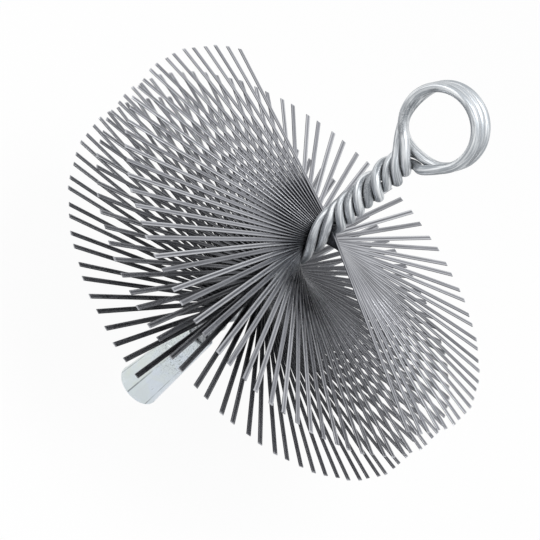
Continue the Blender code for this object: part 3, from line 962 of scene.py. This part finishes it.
def sleeve_rings(mouth_radius):
    """Rings up the outside and back down the bore with its thread."""
    rim = []
    for step in range(RIM_STEPS):
        turn = QUARTER_TURN * step / RIM_STEPS
        rim.append((RIM_ROUND * (1 - math.sin(turn)), RIM_ROUND * (1 - math.cos(turn))))

    def outside(height, inset):
        return sleeve_ring(height, lambda angle: sleeve_outside(angle, height, mouth_radius) - inset)

    rings = [outside(rise, inset) for inset, rise in rim]
    straight = SLEEVE_LENGTH - 2 * RIM_ROUND
    stations = math.ceil(straight / SLEEVE_STEP)
    rings += [outside(RIM_ROUND + straight * step / stations, 0.0) for step in range(stations + 1)]
    rings += [outside(SLEEVE_LENGTH - drop, inset) for inset, drop in reversed(rim)]
    rings.append(sleeve_ring(SLEEVE_LENGTH, lambda angle: WIRE_BORE_RADIUS))
    rings.append(sleeve_ring(THREAD_DEPTH, lambda angle: WIRE_BORE_RADIUS))
    threads = math.ceil((THREAD_DEPTH - MOUTH_CHAMFER) / THREAD_PITCH * THREAD_STEPS_PER_TURN)
    for step in range(threads + 1):
        height = THREAD_DEPTH + (MOUTH_CHAMFER - THREAD_DEPTH) * step / threads
        rings.append(sleeve_ring(height, lambda angle: THREAD_CORE_RADIUS + thread_depth(angle, height)))
    rings.append(sleeve_ring(0.0, lambda angle: THREAD_CORE_RADIUS + MOUTH_CHAMFER))
    return rings


# Operators

class AddStrips(bpy.types.Operator):
    """Add the fan's flat strips, in packs of three neighbours"""

    bl_idname = "sweep_brush.add_strips"
    bl_label = "Add Strips"

    def execute(self, context):
        settings = context.scene.sweep_brush_strips
        material = strip_material(settings)
        outline = strip_outline(settings.width, settings.thickness)
        for pack in range(STRIP_COUNT // STRIPS_IN_A_PACK):
            bm = bmesh.new()
            places, seeds = [], []
            first = pack * STRIPS_IN_A_PACK
            for index in range(first, first + STRIPS_IN_A_PACK):
                rings, strip_places = strip_rings(index, outline)
                bridge_rings(bm, rings, closed=False)
                places += strip_places
                seeds += strip_seeds(index, len(strip_places))
            name, node = f"flat_strips_{pack + 1:02d}", f"strip_pack_{pack + 1:02d}"
            piece = add_piece(name, bm, material, [node], SHARP_EDGE)
            store_vectors(piece.data, "strip_place", places)
            store_vectors(piece.data, "strip_seeds", seeds)
        return {"FINISHED"}


class AddWires(bpy.types.Operator):
    """Add the two doubled wires that are twisted into the stem and wound into the eye"""

    bl_idname = "sweep_brush.add_wires"
    bl_label = "Add Wires"

    def execute(self, context):
        settings = context.scene.sweep_brush_wires
        material = wire_material(settings)
        routes = [wire_points(wire) for wire in WIRES.values()]
        made = [wire_rings(route, settings.diameter / 2) for route in routes]
        grooves = groove_depths(routes, [rings for rings, _ in made], settings.diameter / 2)
        for node, (rings, drawn), groove in zip(WIRES, made, grooves):
            bm = bmesh.new()
            bridge_rings(bm, rings, closed=False)
            name = node.replace("wire", "zinc_wire")
            piece = add_piece(name, bm, material, [node], SHARP_EDGE)
            store_vectors(piece.data, "drawn", drawn)
            store_vectors(piece.data, "groove", groove)
        return {"FINISHED"}


class AddSleeve(bpy.types.Operator):
    """Add the pressed sleeve with its punch marks and its thread"""

    bl_idname = "sweep_brush.add_sleeve"
    bl_label = "Add Sleeve"

    def execute(self, context):
        settings = context.scene.sweep_brush_sleeve
        bm = bmesh.new()
        rings = sleeve_rings(settings.radius)
        bridge_rings(bm, rings, closed=True)
        material = sleeve_material(settings)
        nodes = ["threaded_sleeve"]
        piece = add_piece("pressed_sleeve", bm, material, nodes, SHARP_SLEEVE_EDGE)
        store_vectors(piece.data, "pressed", [pressed_place(point) for ring in rings for point in ring])
        return {"FINISHED"}


class AddStage(bpy.types.Operator):
    """Add the floor, the lamps, the room's light and the camera"""

    bl_idname = "sweep_brush.add_stage"
    bl_label = "Add Stage"

    def execute(self, context):
        settings = context.scene.sweep_brush_stage
        add_floor(settings)
        aim = Vector(settings.camera_aim)
        for name, lamp in LAMPS.items():
            power = getattr(settings, lamp["power"])
            add_lamp(name, Vector(lamp["place"]), aim, lamp["diameter"], power)
        light_the_room(context.scene, settings.room_light)
        add_camera(context.scene, settings)
        context.scene.view_settings.view_transform = "Standard"
        return {"FINISHED"}


# Studio

def seen_directly(tree):
    """One for camera, mirror and glass rays, and nothing for the light that falls on the brush."""
    ray = add_node(tree, "ShaderNodeLightPath", {}).outputs
    seen = maths(tree, "MAXIMUM", ray["Is Camera Ray"], ray["Is Glossy Ray"])
    return maths(tree, "MAXIMUM", seen, ray["Is Transmission Ray"])


def add_floor(settings):
    """A white floor under the sleeve's mouth, which glows where it is seen and keeps the shadow."""
    bm = bmesh.new()
    bmesh.ops.create_grid(bm, x_segments=1, y_segments=1, size=FLOOR_REACH)
    mesh = bpy.data.meshes.new("studio_floor")
    bm.to_mesh(mesh)
    bm.free()
    material, tree, shader = new_material("floor_paper", metallic=0.0)
    shader.inputs["Base Color"].default_value = (*settings.floor_colour, 1.0)
    shader.inputs["Roughness"].default_value = FLOOR_ROUGHNESS
    glow = add_node(tree, "ShaderNodeEmission", {"Color": WHITE, "Strength": 1.0})
    share = maths(tree, "MULTIPLY", seen_directly(tree), FLOOR_GLOW)
    mixed = add_node(tree, "ShaderNodeMixShader", {0: share, 1: shader.outputs[0], 2: glow.outputs[0]})
    tree.links.new(mixed.outputs[0], tree.nodes["Material Output"].inputs["Surface"])
    mesh.materials.append(material)
    floor = bpy.data.objects.new("studio_floor", mesh)
    bpy.context.scene.collection.objects.link(floor)
    floor.location.z = -FLOOR_DROP


def add_lamp(name, place, aim, diameter, power):
    """A round lamp at this place that faces the brush."""
    lamp = bpy.data.lights.new(name, "AREA")
    lamp.shape = "DISK"
    lamp.size = diameter
    lamp.energy = power
    placed = bpy.data.objects.new(name, lamp)
    bpy.context.scene.collection.objects.link(placed)
    placed.location = place
    placed.rotation_euler = (aim - place).to_track_quat("-Z", "Y").to_euler()


def light_the_room(scene, strength):
    """Even light on the brush, and plain white where the room is seen or mirrored."""
    world = bpy.data.worlds.new("studio_room")
    world.use_nodes = True
    tree = world.node_tree
    background = tree.nodes["Background"]
    background.inputs["Color"].default_value = WHITE
    level = maths(tree, "ADD", maths(tree, "MULTIPLY", seen_directly(tree), 1.0 - strength), strength)
    tree.links.new(level, background.inputs["Strength"])
    scene.world = world


def add_camera(scene, settings):
    """The camera that took the photo, by its bearing, height, roll and distance from its aim."""
    data = bpy.data.cameras.new("photo_camera")
    data.lens = settings.focal_length
    data.sensor_width = SENSOR_WIDTH
    camera = bpy.data.objects.new("photo_camera", data)
    scene.collection.objects.link(camera)
    azimuth, elevation = settings.camera_azimuth, settings.camera_elevation
    back = Vector((
        math.sin(azimuth) * math.cos(elevation),
        -math.cos(azimuth) * math.cos(elevation),
        math.sin(elevation),
    ))
    facing = back.to_track_quat("Z", "Y").to_matrix() @ Matrix.Rotation(settings.camera_roll, 3, "Z")
    place = Vector(settings.camera_aim) + back * settings.camera_distance
    camera.matrix_world = Matrix.Translation(place) @ facing.to_4x4()
    scene.camera = camera


# Panel and registration

class SweepBrushPanel(bpy.types.Panel):
    """Lists the steps that build the brush, and their settings"""

    bl_idname = "VIEW3D_PT_sweep_brush"
    bl_label = "Sweep Brush"
    bl_space_type = "VIEW_3D"
    bl_region_type = "UI"
    bl_category = "Sweep Brush"

    def draw(self, context):
        layout = self.layout
        for title, settings, operator in STEPS:
            box = layout.box()
            box.label(text=title)
            group = getattr(context.scene, settings)
            for name in group.__annotations__:
                box.prop(group, name)
            box.operator(operator)


STEPS = [
    ("Strips", "sweep_brush_strips", "sweep_brush.add_strips"),
    ("Wires", "sweep_brush_wires", "sweep_brush.add_wires"),
    ("Sleeve", "sweep_brush_sleeve", "sweep_brush.add_sleeve"),
    ("Stage", "sweep_brush_stage", "sweep_brush.add_stage"),
]

SETTINGS = {
    "sweep_brush_strips": StripSettings,
    "sweep_brush_wires": WireSettings,
    "sweep_brush_sleeve": SleeveSettings,
    "sweep_brush_stage": StageSettings,
}

CLASSES = [*SETTINGS.values(), AddStrips, AddWires, AddSleeve, AddStage, SweepBrushPanel]


def register():
    for cls in CLASSES:
        bpy.utils.register_class(cls)
    for name, cls in SETTINGS.items():
        setattr(bpy.types.Scene, name, bpy.props.PointerProperty(type=cls))


def unregister():
    for name in SETTINGS:
        delattr(bpy.types.Scene, name)
    for cls in reversed(CLASSES):
        bpy.utils.unregister_class(cls)


def main():
    register()
    bpy.ops.sweep_brush.add_strips()
    bpy.ops.sweep_brush.add_wires()
    bpy.ops.sweep_brush.add_sleeve()
    bpy.ops.sweep_brush.add_stage()


if __name__ == "__main__":
    main()
